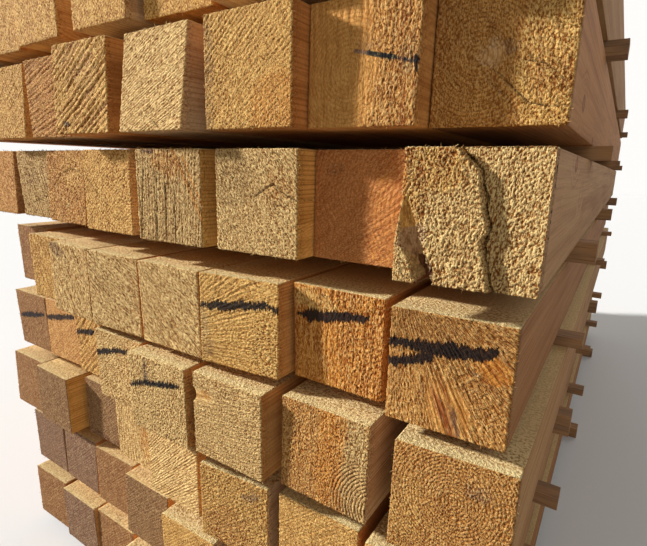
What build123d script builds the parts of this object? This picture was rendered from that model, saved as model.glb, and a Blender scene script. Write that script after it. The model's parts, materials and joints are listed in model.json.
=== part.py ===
# Stack of square sawn timber beams, eight rows of eight, with battens between the rows.
# X runs across the stack, Y along the beams and Z up. The ends that show face -Y.
# The origin lies under the middle of the stack, on the underside of its lowest battens.

import os
from math import radians, tan

from build123d import *

# Beams, in millimetres
beam_side = 150.0
beam_length = 3000.0
arris = 1.5

# Battens
batten_width = 50.0
batten_spacing = 1020.0
batten_overhang = 25.0

# Batten thickness under each row, from the lowest row up
batten_thickness = [40.0, 25.0, 25.0, 40.0, 20.0, 40.0, 25.0, 25.0]

# How far the right face of each row stands in from the right-hand side of the stack
row_inset = [20.0, 30.0, 42.0, 0.0, 21.0, 7.0, 7.0, 7.0]

# Spaces between neighbouring beams in each row, from the right to the left
side_gaps = [
    [12.0, 8.0, 20.0, 6.0, 15.0, 4.0, 10.0],
    [8.0, 14.0, 5.0, 22.0, 6.0, 12.0, 4.0],
    [16.0, 19.0, 32.0, 13.0, 2.0, 20.0, 2.0],
    [38.0, 24.0, 14.0, 10.0, 3.0, 2.0, 2.0],
    [18.0, 10.0, 4.0, 10.0, 7.0, 2.0, 49.0],
    [5.0, 2.0, 24.0, 37.0, 38.0, 2.0, 23.0],
    [2.0, 2.0, 33.0, 31.0, 35.0, 26.0, 22.0],
    [4.0, 8.0, 12.0, 15.0, 60.0, 30.0, 20.0],
]

# How far the middle of each front end stands behind the front plane, from the right to the left
set_backs = [
    [-10.0, 5.0, -20.0, 15.0, 0.0, 30.0, 25.0, 35.0],
    [0.0, -15.0, 10.0, -10.0, 20.0, 45.0, 50.0, 50.0],
    [-10.0, 0.0, -12.0, 5.0, 40.0, 55.0, 20.0, 35.0],
    [-25.0, -20.0, -38.0, -45.0, -12.0, 30.0, 40.0, 40.0],
    [-10.0, 13.0, -20.0, -27.0, -26.0, -23.0, 11.0, 75.0],
    [-34.0, 22.0, -17.0, -28.0, -15.0, 11.0, 26.0, 25.0],
    [42.0, 0.0, -35.0, -42.0, -50.0, -10.0, -6.0, 20.0],
    [10.0, -15.0, -30.0, 0.0, -23.0, -18.0, 0.0, 10.0],
]

# How far each end is cut out of square, in degrees: turned about Z, then leant about X
end_turn = [
    [1.0, -1.0, 0.5, 0.0, 1.5, -0.5, 0.0, 1.0],
    [0.0, 1.0, -1.0, 0.5, 0.0, 1.0, -0.5, 0.0],
    [1.0, 0.0, 4.5, -1.0, 0.0, 0.0, -1.0, 0.0],
    [3.0, -1.0, 0.0, 1.0, 1.0, 0.0, 1.0, 0.0],
    [1.5, -1.0, 5.5, 0.5, 2.0, -2.0, 0.0, 0.0],
    [-1.0, -1.0, 1.0, 1.5, -1.5, -2.0, 0.0, 0.0],
    [2.5, 0.0, 1.0, -1.0, 2.5, 0.0, 0.0, 1.0],
    [0.0, 1.0, -1.0, 2.0, 0.5, -1.0, 1.0, 0.0],
]
end_lean = [
    [1.0, 0.0, -1.0, 1.5, 0.0, 0.5, -1.0, 0.0],
    [-0.5, 1.0, 0.0, -1.0, 1.5, 0.0, 1.0, -0.5],
    [0.0, 0.0, 0.0, -0.5, -1.0, 0.5, -0.5, 1.5],
    [3.0, 1.5, -0.5, -1.0, -1.0, -2.0, 0.0, -2.0],
    [1.0, -2.0, 0.5, -1.0, -0.5, 0.0, -1.0, -1.0],
    [3.0, 0.5, 0.0, 0.5, 1.0, 2.0, -2.5, 2.0],
    [1.5, 2.0, 0.5, 8.0, 2.5, -1.0, 3.5, 0.0],
    [0.0, 1.5, 2.0, -1.0, 1.0, 0.0, 2.0, 1.0],
]

# The torn end: a curved slot where the lower left corner has split away, and a crack down
# the end with the wood to its right a step further back. The slot's two sides are given in
# millimetres from the lower left corner, the crack's line as shares of the beam's side.
slot_inner_side = [(6.0, 104.0), (12.0, 82.0), (23.0, 55.0), (33.0, 28.0), (43.0, -1.0)]
slot_outer_side = [(29.0, -1.0), (19.0, 27.0), (9.0, 45.0), (3.0, 68.0), (6.0, 104.0)]
slot_depth_top = 8.0
slot_depth_bottom = 34.0
crack_line = [
    (0.41, 1.0), (0.49, 0.93), (0.57, 0.85), (0.58, 0.75), (0.61, 0.67), (0.61, 0.6),
    (0.65, 0.47), (0.63, 0.34), (0.67, 0.19), (0.73, 0.0),
]
crack_width = 2.5
crack_depth = 22.0
crack_step = 4.0

# The chipped end: a scoop out of its left edge
chip_height = 110.0
chip_reach = 7.0
chip_length = 24.0
chip_depth = 12.0

row_count = len(side_gaps)


def row_width(row):
    beams = len(side_gaps[row]) + 1
    return beams * beam_side + sum(side_gaps[row])


def end_slack(row, place):
    slope = tan(radians(abs(end_turn[row][place]))) + tan(radians(abs(end_lean[row][place])))
    return slope * beam_side / 2


# Overall places, worked out from the sizes above
stack_width = max(row_inset[row] + row_width(row) for row in range(row_count))
right_side = stack_width / 2
foremost = min(
    back - end_slack(row, place)
    for row in range(row_count)
    for place, back in enumerate(set_backs[row])
)
rearmost = max(max(backs) for backs in set_backs) + beam_length
front_plane = -(foremost + rearmost) / 2


def row_bottom(row):
    return sum(batten_thickness[: row + 1]) + row * beam_side


def beam_left(row, place):
    return right_side - row_inset[row] - (place + 1) * beam_side - sum(side_gaps[row][:place])


def end_face(row, place):
    """Plane of a beam's front end, with its origin at the lower left corner."""
    front = front_plane + set_backs[row][place]
    origin = (beam_left(row, place), front, row_bottom(row))
    return Plane(origin=origin, x_dir=(1, 0, 0), z_dir=(0, -1, 0))


def sawn_beam(row, place):
    face = end_face(row, place)
    slack = end_slack(row, place)
    turn = tan(radians(end_turn[row][place]))
    lean = tan(radians(end_lean[row][place]))
    middle = face.from_local_coords((beam_side / 2, beam_side / 2, 0))
    with BuildPart() as beam:
        with BuildSketch(face.offset(slack)):
            with Locations((beam_side / 2, beam_side / 2)):
                profile = Rectangle(beam_side, beam_side)
            chamfer(profile.vertices(), arris)
        extrude(amount=-(beam_length + slack))
        split(bisect_by=Plane(origin=middle, z_dir=(-turn, 1, -lean)), keep=Keep.TOP)
    return beam.part


def slot_cutter(face, slack):
    """The curved slot of the torn end, shallow at its top and deep at its foot."""
    top = slot_inner_side[0][1]
    slope = (slot_depth_bottom - slot_depth_top) / top
    floor_point = face.from_local_coords((0, 0, -slot_depth_bottom))
    with BuildPart() as cutter:
        with BuildSketch(face.offset(slack)):
            with BuildLine():
                Spline(slot_inner_side)
                Line(slot_inner_side[-1], slot_outer_side[0])
                Spline(slot_outer_side)
            make_face()
        extrude(amount=-(slot_depth_bottom + slack))
        split(bisect_by=Plane(origin=floor_point, z_dir=(0, 1, slope)), keep=Keep.BOTTOM)
    return cutter.part


def crack_points(shift):
    """Points down the crack, moved sideways by a shift."""
    return [(across * beam_side + shift, up * beam_side) for across, up in crack_line]


def torn_beam(row, place):
    face = end_face(row, place)
    slack = end_slack(row, place)
    whole = sawn_beam(row, place)
    slot = slot_cutter(face, slack)
    right_of_crack = crack_points(0) + [(beam_side + 1, -1), (beam_side + 1, beam_side + 1)]
    crack = crack_points(0) + crack_points(crack_width)[::-1]
    with BuildPart() as beam:
        add(whole)
        add(slot, mode=Mode.SUBTRACT)
        for outline, depth in ((right_of_crack, crack_step), (crack, crack_depth)):
            with BuildSketch(face.offset(slack)):
                with BuildLine():
                    Polyline(outline, close=True)
                make_face()
            extrude(amount=-(depth + slack), mode=Mode.SUBTRACT)
    return beam.part


def chipped_beam(row, place):
    face = end_face(row, place)
    slack = end_slack(row, place)
    whole = sawn_beam(row, place)
    with BuildPart() as beam:
        add(whole)
        with BuildSketch(face.offset(slack)):
            with Locations((0, chip_height)):
                Ellipse(chip_reach, chip_length / 2)
        extrude(amount=-(chip_depth + slack), mode=Mode.SUBTRACT)
    return beam.part


# Beams with a broken end, by row and place; all the others are whole
broken_beams = {(5, 0): torn_beam, (3, 2): chipped_beam}

rows = []
for row in range(row_count):
    beams = [broken_beams.get((row, place), sawn_beam)(row, place) for place in range(len(set_backs[row]))]
    with BuildPart() as beam_row:
        add(beams)
    beam_row.part.label = f"beams_row_{row + 1}"
    rows.append(beam_row.part)


def battens_at(name, y):
    batten_length = stack_width + 2 * batten_overhang
    with BuildPart() as battens:
        for row in range(row_count):
            thickness = batten_thickness[row]
            with Locations((0, y, row_bottom(row) - thickness / 2)):
                Box(batten_length, batten_width, thickness)
    battens.part.label = name
    return battens.part


spacers = [
    battens_at("battens_front", -batten_spacing),
    battens_at("battens_middle", 0),
    battens_at("battens_back", batten_spacing),
]

os.makedirs("parts", exist_ok=True)
for piece in rows + spacers:
    export_step(piece, f"parts/{piece.label}.step")
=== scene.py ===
# Stack of square timber beams with battens between the rows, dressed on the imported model.
# X is right, Y runs along the beams, Z is up; the ends that show face -Y. Face sizes are in millimetres.
import bmesh
import bpy
import json
import math
import numpy as np
from mathutils import Matrix, Vector

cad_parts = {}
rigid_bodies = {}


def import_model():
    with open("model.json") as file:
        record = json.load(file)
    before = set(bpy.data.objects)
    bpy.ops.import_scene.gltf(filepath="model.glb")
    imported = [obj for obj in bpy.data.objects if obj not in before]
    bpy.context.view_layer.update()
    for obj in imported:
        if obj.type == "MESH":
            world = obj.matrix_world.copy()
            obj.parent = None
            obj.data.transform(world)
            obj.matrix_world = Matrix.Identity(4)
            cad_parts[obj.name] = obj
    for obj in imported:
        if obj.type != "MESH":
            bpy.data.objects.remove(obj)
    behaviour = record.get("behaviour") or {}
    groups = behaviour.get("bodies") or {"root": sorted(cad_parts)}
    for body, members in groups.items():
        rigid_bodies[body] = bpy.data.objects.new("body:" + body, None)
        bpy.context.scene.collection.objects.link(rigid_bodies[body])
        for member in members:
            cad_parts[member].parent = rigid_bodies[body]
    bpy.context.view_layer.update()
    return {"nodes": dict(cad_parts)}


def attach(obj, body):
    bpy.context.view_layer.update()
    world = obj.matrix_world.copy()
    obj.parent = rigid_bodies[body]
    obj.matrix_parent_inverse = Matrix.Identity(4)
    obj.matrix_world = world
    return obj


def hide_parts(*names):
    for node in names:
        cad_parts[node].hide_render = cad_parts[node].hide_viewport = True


print("stack: loading the packed model")
bpy.ops.object.select_all(action="SELECT")
bpy.ops.object.delete()                     # the start scene's cube, lamp and camera
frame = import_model()
bpy.ops.object.select_all(action="DESELECT")

mm = 0.001
beamSide = 150.0
rowNames = ["beams_row_%d" % number for number in range(1, 9)]
battenNames = ["battens_front", "battens_middle", "battens_back"]


def fromScreen(red, green, blue):
    # a colour as it is read on the screen, 0 to 255, as the linear value that Blender wants
    return tuple(((value / 255 + 0.055) / 1.055) ** 2.4 for value in (red, green, blue))


# Wood tones: those of the tufts on a sawn end, then those of knots, of tops paler partly as bleaching and
# partly as painted light, and of battens
tones = {
    "straw": fromScreen(255, 218, 148),
    "golden": fromScreen(244, 194, 110),
    "honey": fromScreen(224, 164, 86),
    "orange": fromScreen(234, 162, 70),
    "rust": fromScreen(188, 116, 64),
    "brown": fromScreen(170, 122, 76),
    "greyBrown": fromScreen(156, 116, 76),
    "grey": fromScreen(190, 164, 122),
    "greenGrey": fromScreen(228, 192, 128),
    "blueGrey": fromScreen(140, 124, 106),
    "purpleGrey": fromScreen(152, 116, 92),
    "darkBrown": fromScreen(110, 74, 48),
    "umber": fromScreen(130, 88, 58),
    "soot": fromScreen(52, 46, 36),
    # cream is also the painted highlight on tuft tips and rough tops
    "cream": fromScreen(255, 232, 168),
    "pale": fromScreen(226, 190, 144),
    "amber": fromScreen(232, 174, 104),
    "resin": fromScreen(216, 152, 86),
    "ember": fromScreen(214, 140, 76),
    # the outer long faces' darker tone, painted shade
    "outerShade": fromScreen(184, 142, 96),
    "tan": fromScreen(186, 132, 78),
    "knot": fromScreen(176, 110, 62),
    "bleachedAndLitTop": fromScreen(248, 218, 156),
    "batten": fromScreen(176, 134, 92),
    "greyBatten": fromScreen(142, 112, 86),
}

# Node helpers, used for the materials and for the relief

attributeKinds = {"number": "FLOAT", "vector": "FLOAT_VECTOR", "colour": "FLOAT_COLOR"}


def feed(tree, socket, value):
    if isinstance(value, bpy.types.NodeSocket):
        tree.links.new(value, socket)
    else:
        socket.default_value = value


def addNode(tree, kind, inputs=None, **settings):
    # a node with its settings, then its input sockets by name or number
    node = tree.nodes.new(kind)
    for name, value in settings.items():
        setattr(node, name, value)
    for socket, value in (inputs or {}).items():
        feed(tree, node.inputs[socket], value)
    return node


def sums(tree, operation, *values):
    return addNode(tree, "ShaderNodeMath", dict(enumerate(values)), operation=operation).outputs[0]


def times(tree, first, second):
    return sums(tree, "MULTIPLY", first, second)


def plus(tree, total, *others):
    for value in others:
        total = sums(tree, "ADD", total, value)
    return total


def centred(tree, value, spread):
    # a pattern from 0 to 1, made to swing round zero
    return times(tree, sums(tree, "SUBTRACT", value, 0.5), spread)


def vectors(tree, operation, *values):
    node = addNode(tree, "ShaderNodeVectorMath", dict(enumerate(values)), operation=operation)
    return node.outputs["Value" if operation == "LENGTH" else "Vector"]


def scaled(tree, vector, factor):
    inputs = {0: vector, "Scale": factor}
    return addNode(tree, "ShaderNodeVectorMath", inputs, operation="SCALE").outputs["Vector"]


def stretched(tree, place, *shares):
    return vectors(tree, "MULTIPLY", place, shares)


def ramp(tree, value, low, high, start=0.0, end=1.0):
    inputs = {"Value": value, "From Min": low, "From Max": high, "To Min": start, "To Max": end}
    return addNode(tree, "ShaderNodeMapRange", inputs, interpolation_type="SMOOTHSTEP").outputs["Result"]


def noise(tree, place, scale, detail=2.0, rough=0.5, warp=0.0, output="Fac"):
    inputs = {"Vector": place, "Scale": scale, "Detail": detail, "Roughness": rough, "Distortion": warp}
    return addNode(tree, "ShaderNodeTexNoise", inputs).outputs[output]


def split(tree, vector):
    return addNode(tree, "ShaderNodeSeparateXYZ", {0: vector}).outputs


def pack(tree, *values):
    return addNode(tree, "ShaderNodeCombineXYZ", dict(enumerate(values))).outputs[0]


def blendColour(tree, share, first, second, way="MIX"):
    first, second = (value if isinstance(value, bpy.types.NodeSocket) else (*value, 1.0)
                     for value in (first, second))
    return addNode(tree, "ShaderNodeMix", {0: share, 6: first, 7: second},
                   data_type="RGBA", blend_type=way, clamp_factor=True).outputs[2]


def shaded(tree, share, wood, shade):
    return blendColour(tree, share, wood, shade, "MULTIPLY")


def stored(tree, name, kind="vector"):
    # a value kept on the mesh, for a material or for Geometry Nodes
    if tree.bl_idname == "GeometryNodeTree":
        node = addNode(tree, "GeometryNodeInputNamedAttribute", {"Name": name},
                       data_type=attributeKinds[kind])
        return node.outputs["Attribute"]
    node = addNode(tree, "ShaderNodeAttribute", attribute_name=name)
    return node.outputs[{"vector": "Vector", "number": "Fac", "colour": "Color"}[kind]]


grainSettings = {
    "tuftScale": 600.0,       # one over the size of a tuft in metres, before the stretch
    "tuftWarp": 0.35,
    "gritScale": 900.0,
    "ringWarp": 0.012,        # how far the growth rings wander, metres
    "ringUneven": 0.9,        # how unevenly they are spaced, in rings
    "sawShake": 0.8,          # how far the saw marks wander, in marks
    "streakScale": 420.0,     # lengthwise streaks on the long sides
    "planedScale": 240.0,     # the saw's grain on the long sides
    "knotScale": 5.5,         # knots to a metre, where one comes near a surface
    "knotReach": 0.013,       # how near, metres
    "knotHalo": 0.045,        # how far round a knot the rings bend, metres
    "knotSwell": 0.02,        # and by how much
}


def timberPattern(tree, place):
    # the patterns that the relief and the colour share: tufts, growth rings and saw marks
    spot = split(tree, place)
    lay = split(tree, stored(tree, "lay"))          # fibre turn, tuft size, streak strength
    turned = addNode(tree, "ShaderNodeVectorRotate", {"Vector": place, "Angle": lay[0]},
                     rotation_type="Y_AXIS")
    saw = split(tree, stored(tree, "saw"))          # pivot x, pivot z, angle between two marks
    sawX, sawZ = sums(tree, "SUBTRACT", spot[0], saw[0]), sums(tree, "SUBTRACT", spot[2], saw[1])
    swing = sums(tree, "ARCTAN2", sawZ, sawX)
    away = vectors(tree, "LENGTH", pack(tree, sawX, 0.0, sawZ))
    # 1 where fibres follow the saw's fan, its reach, their length
    comb = split(tree, stored(tree, "comb"))
    fanned = pack(tree, times(tree, swing, comb[1]), spot[1], away)
    run = addNode(tree, "ShaderNodeMix", {0: comb[0], 4: turned.outputs[0], 5: fanned},
                  data_type="VECTOR").outputs[1]
    drawn = vectors(tree, "MULTIPLY", run, pack(tree, 1.0, 0.45, comb[2]))
    tuft = noise(tree, scaled(tree, drawn, lay[1]), grainSettings["tuftScale"], 3.0, 0.62,
                 grainSettings["tuftWarp"])
    grit = noise(tree, place, grainSettings["gritScale"], 2.0, 0.6, 0.3)

    pith = split(tree, stored(tree, "pith"))        # x, z, ring spacing
    drift = split(tree, noise(tree, stretched(tree, place, 5.0, 0.7, 5.0), 1.0, 1.0, 0.4, output="Color"))
    across = plus(tree, sums(tree, "SUBTRACT", spot[0], pith[0]),
                  centred(tree, drift[0], grainSettings["ringWarp"]))
    upward = plus(tree, sums(tree, "SUBTRACT", spot[2], pith[1]),
                  centred(tree, drift[1], grainSettings["ringWarp"]))
    radius = sums(tree, "SQRT", plus(tree, times(tree, across, across), times(tree, upward, upward)))
    knots = addNode(tree, "ShaderNodeTexVoronoi",
                    {"Vector": stretched(tree, place, 1.0, 0.62, 1.0), "Scale": grainSettings["knotScale"]})
    knotGap = sums(tree, "DIVIDE", knots.outputs["Distance"], grainSettings["knotScale"])
    swell = times(tree, ramp(tree, knotGap, 0.0, grainSettings["knotHalo"], 1.0, 0.0),
                  grainSettings["knotSwell"])
    wander = noise(tree, stretched(tree, place, 30.0, 1.5, 30.0), 1.0, 2.0, 0.5)
    turns = plus(tree, sums(tree, "DIVIDE", plus(tree, radius, swell), pith[2]),
                 times(tree, wander, grainSettings["ringUneven"]))
    band = sums(tree, "FRACT", turns)
    late = times(tree, ramp(tree, band, 0.45, 0.85), ramp(tree, band, 0.9, 1.0, 1.0, 0.0))

    shake = noise(tree, place, 22.0, 2.0, 0.5)
    count = plus(tree, sums(tree, "DIVIDE", swing, saw[2]), times(tree, shake, grainSettings["sawShake"]))
    stripes = noise(tree, pack(tree, times(tree, count, 1.7), times(tree, away, 9.0), 0.0), 1.0, 2.0, 0.6)
    wave = sums(tree, "SINE", times(tree, count, 2 * math.pi))
    mark = plus(tree, times(tree, wave, 0.5), ramp(tree, stripes, 0.36, 0.6, -0.6, 0.6))
    return {"tuft": tuft, "grit": grit, "late": late, "mark": mark, "spot": spot, "run": run,
            "streak": lay[2],
            "knotGap": knotGap}


# Relief of the sawn ends, in metres: grit as a share of the tufts, rings and saw marks at full strength
reliefSettings = {"grit": 0.8, "ring": -0.0006, "saw": 0.0009}
# Loose fibres: cones for each square metre, their radii, length and lean, and how their size varies
fibreSettings = {"density": 120000.0, "root": 0.00045, "tip": 0.00012, "length": 0.0034, "tilt": 0.9,
                 "turn": 3.1,
                 "smallest": 0.45, "largest": 1.5}


def buildRelief():
    # each point moves along its normal by the tufts, rings and saw marks; then the fibres are planted
    tree = bpy.data.node_groups.new("raisedGrain", "GeometryNodeTree")
    for way in ("INPUT", "OUTPUT"):
        tree.interface.new_socket("Geometry", in_out=way, socket_type="NodeSocketGeometry")
    start = addNode(tree, "NodeGroupInput")
    pattern = timberPattern(tree, addNode(tree, "GeometryNodeInputPosition").outputs[0])
    feel = split(tree, stored(tree, "feel"))        # ring strength, saw strength, roughness
    rough = stored(tree, "rough", "number")         # metres of tuft height at this point
    tuftLift = times(tree, ramp(tree, pattern["tuft"], 0.28, 0.74, -1.1, 1.0), rough)
    gritLift = centred(tree, pattern["grit"], times(tree, rough, reliefSettings["grit"]))
    ringLift = times(tree, pattern["late"], times(tree, feel[0], reliefSettings["ring"]))
    sawLift = times(tree, pattern["mark"], times(tree, feel[1], reliefSettings["saw"]))
    onEnd = times(tree, plus(tree, ringLift, sawLift), stored(tree, "endGrain", "number"))
    normal = addNode(tree, "GeometryNodeInputNormal").outputs[0]
    raised = scaled(tree, normal, plus(tree, tuftLift, gritLift, onEnd))
    offset = vectors(tree, "ADD", raised, stored(tree, "shift"))
    move = addNode(tree, "GeometryNodeSetPosition", {"Geometry": start.outputs[0], "Offset": offset})

    # loose fibres: small cones on points spread by the kept fuzz, made real
    density = times(tree, stored(tree, "fuzz", "number"), fibreSettings["density"])
    spread = addNode(tree, "GeometryNodeDistributePointsOnFaces",
                     {"Mesh": move.outputs[0], "Density": density})
    fibre = addNode(tree, "GeometryNodeMeshCone",
                    {"Vertices": 3, "Radius Top": fibreSettings["tip"],
                     "Radius Bottom": fibreSettings["root"],
                     "Depth": fibreSettings["length"]}, fill_type="NONE")
    tilt, around = fibreSettings["tilt"], fibreSettings["turn"]
    leaning = addNode(tree, "FunctionNodeRandomValue", data_type="FLOAT_VECTOR")
    leaning.inputs[0].default_value = (-tilt, -tilt, -around)
    leaning.inputs[1].default_value = (tilt, tilt, around)
    lean = addNode(tree, "FunctionNodeEulerToRotation", {0: leaning.outputs[0]})
    turn = addNode(tree, "FunctionNodeRotateRotation", {0: spread.outputs["Rotation"], 1: lean.outputs[0]},
                   rotation_space="LOCAL")
    grow = addNode(tree, "FunctionNodeRandomValue",
                   {2: fibreSettings["smallest"], 3: fibreSettings["largest"]},
                   data_type="FLOAT")
    planted = addNode(tree, "GeometryNodeInstanceOnPoints",
                      {"Points": spread.outputs["Points"], "Instance": fibre.outputs["Mesh"],
                       "Rotation": turn.outputs[0], "Scale": grow.outputs[1]})
    real = addNode(tree, "GeometryNodeRealizeInstances", {0: planted.outputs[0]})
    whole = addNode(tree, "GeometryNodeJoinGeometry", {0: move.outputs[0]})
    feed(tree, whole.inputs[0], real.outputs[0])
    addNode(tree, "NodeGroupOutput", {0: whole.outputs[0]})
    return tree


# Materials

# What darkens the wood, as shares of its red, green and blue; those of saw marks, pits, low grit and rough
# tops are painted shade in the low places, and tip brightens the tuft tips as a painted highlight; crayon and
# cracks are colours of their own, the cracks' near black being painted shade
woodShades = {
    "blotch": (0.62, 0.5, 0.36), "ring": (0.42, 0.27, 0.15), "saw": (0.5, 0.34, 0.19),
    "strand": (0.55, 0.36, 0.2),
    "pit": (0.38, 0.2, 0.075), "lowGritShade": (0.46, 0.3, 0.16), "tip": (1.25, 1.25, 1.2),
    "tornDark": (0.35, 0.24, 0.16), "tornPale": (1.0, 0.95, 0.9),
    "crayon": (0.004, 0.004, 0.006), "crack": (0.03, 0.016, 0.012),
    "sideRing": (0.55, 0.36, 0.2), "sideStreak": (0.58, 0.4, 0.26), "sideBroad": (0.7, 0.58, 0.46),
    "knotRim": (0.34, 0.17, 0.08), "fleck": (0.48, 0.34, 0.2), "roughTop": (0.5, 0.36, 0.2),
    "batten": (0.5, 0.38, 0.28),
}
# Heights that the bump adds, in metres
bumpSettings = {"tuft": 0.005, "grit": 0.0014, "ring": -0.0009, "saw": 0.0014,
                "streak": 0.0004, "planed": 0.0006, "sawnTop": 0.004, "roughTop": 0.0035}


def newMaterial(name, roughness):
    material = bpy.data.materials.new(name)
    material.use_nodes = True
    shader = material.node_tree.nodes["Principled BSDF"]
    shader.inputs["Specular IOR Level"].default_value = 0.18
    shader.inputs["Roughness"].default_value = roughness
    return material, material.node_tree, shader


def addBump(tree, shader, height, strength, distance):
    bump = addNode(tree, "ShaderNodeBump", {"Strength": strength, "Distance": distance, "Height": height})
    feed(tree, shader.inputs["Normal"], bump.outputs[0])


def endWood(tree, place, pattern, feel):
    # the sawn ends: tint and stains, and over them rings, saw marks, strands, tufts, crayon and cracks
    stain = stored(tree, "stain", "colour")
    # metres to the nearest crack and to the nearest crayon stroke
    marks = split(tree, stored(tree, "marks"))
    ragged = plus(tree, stored(tree, "stainShare", "number"),
                  centred(tree, noise(tree, place, 140.0, 3.0, 0.7, 0.5), 0.7))
    wood = blendColour(tree, ramp(tree, ragged, 0.3, 0.75), stored(tree, "tint", "colour"), stain)
    blotch = noise(tree, place, 55.0, 3.0, 0.6, 0.6)
    wood = shaded(tree, ramp(tree, blotch, 0.35, 0.7, 0.0, 0.35), wood, woodShades["blotch"])
    wood = shaded(tree, times(tree, pattern["ringShade"], 0.9), wood, woodShades["ring"])
    # the saw marks' troughs are darkened, as painted shade
    sawShade = times(tree, ramp(tree, pattern["mark"], 0.1, -0.8), feel[1])
    wood = shaded(tree, times(tree, sawShade, 0.7), wood, woodShades["saw"])
    strands = noise(tree, stretched(tree, pattern["run"], 1.0, 1.0, 0.1), 170.0, 2.0, 0.55, 0.2)
    wood = shaded(tree, times(tree, ramp(tree, strands, 0.42, 0.62), pattern["streak"]), wood,
                  woodShades["strand"])

    # tufts: painted shade in the pits and in the low grit between, and a painted highlight on the tips
    wood = shaded(tree, times(tree, pattern["pits"], feel[2]), wood, woodShades["pit"])
    gritShade = times(tree, ramp(tree, pattern["grit"], 0.5, 0.36), times(tree, feel[2], 0.45))
    wood = shaded(tree, gritShade, wood, woodShades["lowGritShade"])
    tips = ramp(tree, pattern["tuft"], 0.51, 0.59)
    lit = blendColour(tree, 0.42, shaded(tree, 1.0, wood, woodShades["tip"]), tones["cream"])
    wood = blendColour(tree, times(tree, tips, times(tree, feel[2], 0.85)), wood, lit)

    # the torn hollow, rippled and stained
    ripples = noise(tree, stretched(tree, place, 1.0, 0.3, 0.35), 320.0, 3.0, 0.6, 0.8)
    torn = blendColour(tree, ramp(tree, ripples, 0.3, 0.7), woodShades["tornDark"], woodShades["tornPale"])
    wood = blendColour(tree, stored(tree, "hollow", "number"), wood, shaded(tree, 1.0, torn, stain))

    # crayon, which skips the low places and breaks up along the stroke
    skips = noise(tree, stretched(tree, place, 1.0, 1.0, 0.12), 360.0, 1.0, 0.5)
    crayon = plus(tree, marks[1], centred(tree, pattern["tuft"], -0.006),
                  times(tree, sums(tree, "SUBTRACT", skips, 0.42), -0.018))
    waxed = times(tree, ramp(tree, crayon, 0.0012, -0.0006, 0.0, 0.97),
                  ramp(tree, pattern["tuft"], 0.34, 0.46, 0.72, 1.0))
    wood = blendColour(tree, waxed, wood, woodShades["crayon"])
    # the cracks are painted near black, as painted shade in them
    crackEdge = plus(tree, marks[0], centred(tree, pattern["grit"], 0.0012))
    broken = ramp(tree, noise(tree, place, 150.0, 2.0, 0.6), 0.36, 0.58, 0.35, 1.0)
    crackShade = times(tree, ramp(tree, crackEdge, 0.0012, -0.0003, 0.0, 0.85), broken)
    return blendColour(tree, crackShade, wood, woodShades["crack"])


def sideWood(tree, place, pattern, streak, planed):
    # the long sides: streaks and knots over the growth rings, paler on top and near the ends, partly as
    # bleaching and partly as painted light
    broad = noise(tree, stretched(tree, place, 1.0, 0.04, 1.0), 45.0, 2.0, 0.5)
    faint = ramp(tree, noise(tree, stretched(tree, place, 12.0, 1.5, 12.0), 1.0, 2.0, 0.5), 0.35, 0.7, 0.1,
                 0.6)
    side = stored(tree, "sideTint", "colour")
    side = shaded(tree, times(tree, pattern["late"], faint), side, woodShades["sideRing"])
    side = shaded(tree, ramp(tree, streak, 0.45, 0.68, 0.0, 0.5), side, woodShades["sideStreak"])
    side = shaded(tree, ramp(tree, broad, 0.4, 0.7, 0.0, 0.6), side, woodShades["sideBroad"])
    knotEdge = plus(tree, pattern["knotGap"], centred(tree, broad, 0.01))
    reach = grainSettings["knotReach"]
    side = shaded(tree, ramp(tree, knotEdge, reach, reach * 0.75, 0.0, 0.8), side, woodShades["knotRim"])
    side = blendColour(tree, ramp(tree, knotEdge, reach * 0.62, reach * 0.4, 0.0, 0.7), side, tones["knot"])

    facing = split(tree, addNode(tree, "ShaderNodeNewGeometry").outputs["Normal"])
    nearEnd = ramp(tree, sums(tree, "ABSOLUTE", pattern["spot"][1]), 1.40, 1.50)
    # upward faces made paler, more so near the ends: partly bleaching, partly painted light
    pale = times(tree, ramp(tree, facing[2], 0.5, 0.9), plus(tree, times(tree, nearEnd, 0.4), 0.5))
    side = blendColour(tree, pale, side, tones["bleachedAndLitTop"])
    upper = ramp(tree, facing[2], 0.3, 0.8)
    sawnTop = times(tree, upper, plus(tree, nearEnd, 0.35))
    fleck = plus(tree, 0.2, times(tree, sawnTop, 0.6))
    side = shaded(tree, times(tree, ramp(tree, planed, 0.55, 0.4), fleck), side, woodShades["fleck"])
    roughTop = ramp(tree, stored(tree, "rough", "number"), 0.00003, 0.0005)
    # rough tops near the ends: a painted highlight in cream, and painted shade in their pits
    side = blendColour(tree, times(tree, roughTop, times(tree, upper, 0.8)), side, tones["cream"])
    side = shaded(tree, times(tree, roughTop, times(tree, pattern["pits"], 0.8)), side,
                  woodShades["roughTop"])
    return side, sawnTop, roughTop


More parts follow.
